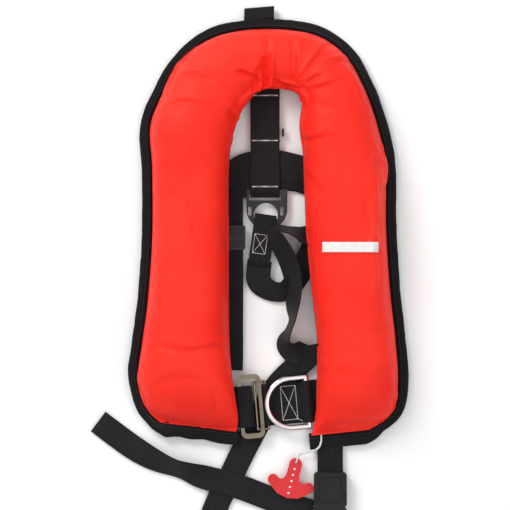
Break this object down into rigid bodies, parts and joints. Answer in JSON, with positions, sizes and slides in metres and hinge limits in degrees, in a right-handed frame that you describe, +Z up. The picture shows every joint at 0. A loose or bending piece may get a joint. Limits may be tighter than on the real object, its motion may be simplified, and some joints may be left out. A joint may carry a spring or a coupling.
{
  "type": "inflatable life jacket",
  "caption": "Horseshoe-shaped inflatable life jacket with waist belt, steel buckle, D-ring and crotch strap, laid flat.",
  "frame": {"origin": "nape, under the middle of the collar, on the surface the jacket lies on", "axes": "+Y from the hem to the collar, +Z up from the surface, out of the jacket's front"},
  "size_m": [0.3482, 0.6377, 0.0611],
  "materials": {
    "cover_fabric": "coated nylon",
    "panel_fabric": "woven nylon",
    "binding_tape": "grosgrain tape",
    "hook_tape": "hook and loop",
    "reflector": "retroreflective tape",
    "bladder_fabric": "coated nylon",
    "white_webbing": "woven webbing",
    "black_rubber": "matte",
    "white_plastic": "moulded",
    "yellow_plastic": "moulded",
    "orange_plastic": "moulded",
    "green_plastic": "moulded",
    "black_plastic": "moulded acetal",
    "handle_plastic": "moulded",
    "steel": "satin",
    "buckle_steel": "satin stainless",
    "polished_steel": "polished stainless",
    "cylinder_steel": "zinc plated",
    "white_cord": "braided cord",
    "webbing": "woven polyester webbing",
    "thread": "sewing thread"
  },
  "bodies": {
    "jacket": {"front_cover": "cover_fabric", "back_panel": "panel_fabric", "edge_binding": "binding_tape", "closure_tape": "hook_tape", "hang_loop": "binding_tape", "reflective_bar": "reflector", "bladder": "bladder_fabric", "bladder_reflectors": "reflector", "lifting_becket": "white_webbing", "oral_tube": "black_rubber", "oral_valve": "white_plastic", "whistle": "orange_plastic", "manifold_stem": "black_rubber", "manifold_nut": "steel", "inflator_body": "yellow_plastic", "lever_pin": "steel", "bobbin": "white_plastic", "bobbin_cap": "green_plastic", "gas_cylinder": "cylinder_steel", "back_strap": "webbing", "back_strap_bartacks": "thread", "strap_keeper": "webbing", "back_plate": "black_plastic", "back_tab": "webbing", "back_tab_stitching": "thread", "waist_belt_back": "webbing", "waist_belt_left": "webbing", "buckle_link": "steel", "waist_belt_right": "webbing", "belt_stitching": "thread", "crotch_strap": "webbing", "crotch_strap_tail": "webbing", "buckle_strap": "webbing", "buckle_female": "black_plastic"},
    "d_ring": {"d_ring": "polished_steel"},
    "buckle_frame": {"buckle_frame": "buckle_steel"},
    "belt_slider": {"belt_slider": "black_plastic"},
    "buckle_male": {"buckle_male": "black_plastic", "crotch_strap_loop": "webbing"},
    "pull": {"pull_handle": "handle_plastic", "pull_cord": "white_cord"},
    "lever": {"manual_lever": "black_plastic"},
    "pin": {"piercing_pin": "steel"},
    "dust_cap": {"dust_cap": "yellow_plastic"}
  },
  "joints": [
    {"name": "d_ring_swing", "type": "hinge", "parent": "jacket", "child": "d_ring", "pos_m": [0.04084, -0.37943, 0.0096], "axis": [-0.0872, 0.9962, 0], "range_deg": [0, 80]},
    {"name": "buckle_frame_swing", "type": "hinge", "parent": "jacket", "child": "buckle_frame", "pos_m": [-0.03188, -0.38579, 0.009], "axis": [-0.0872, 0.9962, 0], "range_deg": [-75, 0]},
    {"name": "belt_slider_slide", "type": "slide", "parent": "jacket", "child": "belt_slider", "axis": [0, 1, 0], "range_m": [-0.018, 0.03]},
    {"name": "side_release", "type": "slide", "parent": "jacket", "child": "buckle_male", "axis": [0, -1, 0], "range_m": [0, 0.025]},
    {"name": "pull_handle_pull", "type": "slide", "parent": "jacket", "child": "pull", "axis": [0, -1, 0], "range_m": [0, 0.016]},
    {"name": "lever_swing", "type": "hinge", "parent": "jacket", "child": "lever", "pos_m": [0.0805, -0.366, 0.0105], "axis": [0, 0, 1], "range_deg": [0, 38]},
    {"name": "pin_travel", "type": "slide", "parent": "jacket", "child": "pin", "axis": [0, 1, 0], "range_m": [0, 0.0045]},
    {"name": "dust_cap_pull", "type": "slide", "parent": "jacket", "child": "dust_cap", "axis": [0, 1, 0], "range_m": [0, 0.02]}
  ],
  "couplings": [
    {"joint": "lever_swing", "follows": "pull_handle_pull", "rad_per_m": 40},
    {"joint": "pin_travel", "follows": "pull_handle_pull", "ratio": 0.2}
  ]
}
